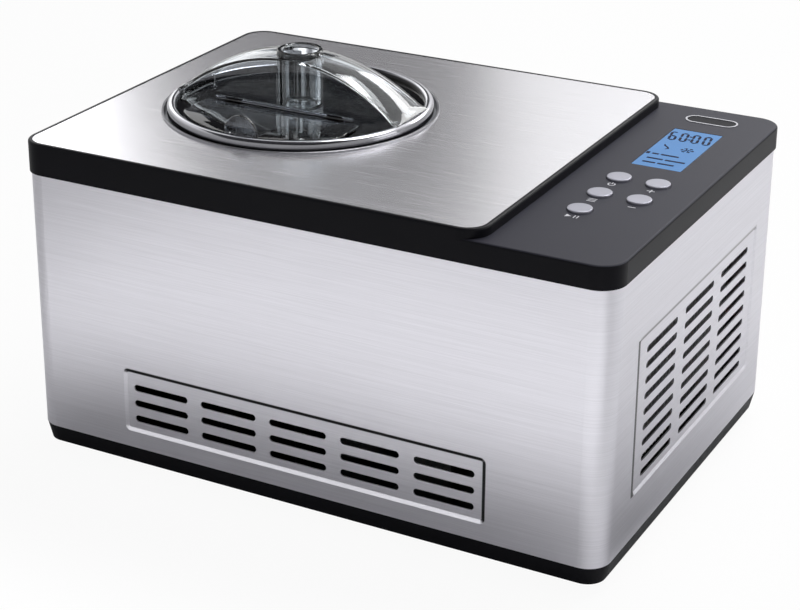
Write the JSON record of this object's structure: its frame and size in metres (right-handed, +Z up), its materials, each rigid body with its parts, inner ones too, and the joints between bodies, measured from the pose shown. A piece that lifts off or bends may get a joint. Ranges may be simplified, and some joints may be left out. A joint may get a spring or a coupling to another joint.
{
  "type": "ice cream maker",
  "caption": "Free-standing ice cream maker: brushed steel cabinet, lift-out bowl with paddle under a clear lid with a filler flap, and a control deck with display and round keys.",
  "frame": {"origin": "on the floor under the centre of the cabinet", "axes": "+X along the width towards the control deck, -Y to the front, +Z up"},
  "size_m": [0.425, 0.3, 0.2675],
  "materials": {
    "brushed_steel": "horizontal brushing",
    "frame_black": "satin",
    "tray_black": "satin",
    "inner_black": "matte",
    "bright_chrome": "polished",
    "lid_clear": "clear, slightly smoky",
    "window_clear": "clear",
    "rubber": "matte",
    "seal_silicone": "translucent",
    "copper": "drawn",
    "bronze": "sintered",
    "bare_aluminium": "satin",
    "zinc_steel": "zinc plated",
    "tool_steel": "ground",
    "compressor_black": "satin paint",
    "iron": "machined",
    "board_green": "solder mask",
    "display_blue": "backlit",
    "button_silver": "silver lacquer",
    "nylon_white": "natural",
    "gearbox_grey": "moulded",
    "foam": "closed cell",
    "badge_dark": "dark face with a bright rim"
  },
  "bodies": {
    "housing": {"badge_plate": "badge_dark", "base_tray": "tray_black", "board_screws": "zinc_steel", "body_shell": "brushed_steel", "capillary_tube": "copper", "compressor_bolts": "zinc_steel", "compressor_foot_plate": "compressor_black", "compressor_grommets": "rubber", "compressor_lower_shell": "compressor_black", "compressor_pump": "iron", "compressor_upper_shell": "compressor_black", "condenser_bracket": "zinc_steel", "condenser_fins": "bare_aluminium", "condenser_tube": "copper", "control_board": "board_green", "cooling_well": "bare_aluminium", "cord_gland": "inner_black", "display_module": "display_blue", "display_window": "window_clear", "evaporator_tube": "copper", "fan_frame": "inner_black", "filter_drier": "copper", "foam_jacket": "foam", "gearbox_cover": "gearbox_grey", "gearbox_housing": "gearbox_grey", "gearbox_screws": "zinc_steel", "idler_pin": "tool_steel", "motor_can": "zinc_steel", "motor_screws": "zinc_steel", "motor_stator": "iron", "power_board": "board_green", "rear_panel": "zinc_steel", "rear_screws": "zinc_steel", "rubber_feet": "rubber", "shaft_bush": "bronze", "shaft_seal": "rubber", "terminal_cover": "inner_black", "top_frame": "frame_black", "top_plate": "brushed_steel", "trim_ring": "bright_chrome", "well_screws": "zinc_steel"},
    "bowl": {"bowl": "bare_aluminium"},
    "paddle": {"paddle": "nylon_white"},
    "lid": {"lid_rim": "bright_chrome", "lid_disc": "lid_clear", "lid_handle": "lid_clear", "lid_seal": "seal_silicone", "flap_pin": "tool_steel"},
    "flap": {"filler_flap": "lid_clear"},
    "drive": {"drive_shaft": "tool_steel", "drive_gear": "nylon_white"},
    "idler": {"idler_gear": "nylon_white"},
    "rotor": {"motor_rotor": "tool_steel", "motor_pinion": "tool_steel"},
    "fan": {"fan_rotor": "inner_black"},
    "power key": {"power_button": "button_silver"},
    "menu key": {"menu_button": "button_silver"},
    "start key": {"start_button": "button_silver"},
    "time up key": {"time_up_button": "button_silver"},
    "time down key": {"time_down_button": "button_silver"}
  },
  "joints": [
    {"name": "bowl_lift", "type": "slide", "parent": "housing", "child": "bowl", "axis": [0, 0, 1], "range_m": [0, 0.14]},
    {"name": "lid_lift", "type": "slide", "parent": "bowl", "child": "lid", "axis": [0, 0, 1], "range_m": [0, 0.12]},
    {"name": "flap_hinge", "type": "hinge", "parent": "lid", "child": "flap", "pos_m": [-0.084, -0.022, 0.2304], "axis": [-1, 0, 0], "range_deg": [0, 85]},
    {"name": "drive_spin", "type": "hinge", "parent": "housing", "child": "drive", "pos_m": [-0.084, 0, 0.0618], "axis": [0, 0, 1], "continuous": true},
    {"name": "paddle_spin", "type": "hinge", "parent": "bowl", "child": "paddle", "pos_m": [-0.084, 0, 0.2], "axis": [0, 0, 1], "continuous": true},
    {"name": "idler_spin", "type": "hinge", "parent": "housing", "child": "idler", "pos_m": [-0.05513, -0.05001, 0.0538], "axis": [0, 0, 1], "continuous": true},
    {"name": "motor_spin", "type": "hinge", "parent": "housing", "child": "rotor", "pos_m": [-0.00263, -0.05001, 0.0538], "axis": [0, 0, 1], "continuous": true},
    {"name": "fan_spin", "type": "hinge", "parent": "housing", "child": "fan", "pos_m": [0.16, 0, 0.1038], "axis": [1, 0, 0], "continuous": true},
    {"name": "power_press", "type": "slide", "parent": "housing", "child": "power key", "axis": [0, 0, -1], "range_m": [0, 0.001], "stiffness_N_per_m": 800},
    {"name": "menu_press", "type": "slide", "parent": "housing", "child": "menu key", "axis": [0, 0, -1], "range_m": [0, 0.001], "stiffness_N_per_m": 800},
    {"name": "start_press", "type": "slide", "parent": "housing", "child": "start key", "axis": [0, 0, -1], "range_m": [0, 0.001], "stiffness_N_per_m": 800},
    {"name": "time_up_press", "type": "slide", "parent": "housing", "child": "time up key", "axis": [0, 0, -1], "range_m": [0, 0.001], "stiffness_N_per_m": 800},
    {"name": "time_down_press", "type": "slide", "parent": "housing", "child": "time down key", "axis": [0, 0, -1], "range_m": [0, 0.001], "stiffness_N_per_m": 800}
  ],
  "couplings": [
    {"joint": "paddle_spin", "follows": "drive_spin", "ratio": 1},
    {"joint": "idler_spin", "follows": "drive_spin", "ratio": -4.5},
    {"joint": "motor_spin", "follows": "drive_spin", "ratio": 22.5}
  ]
}
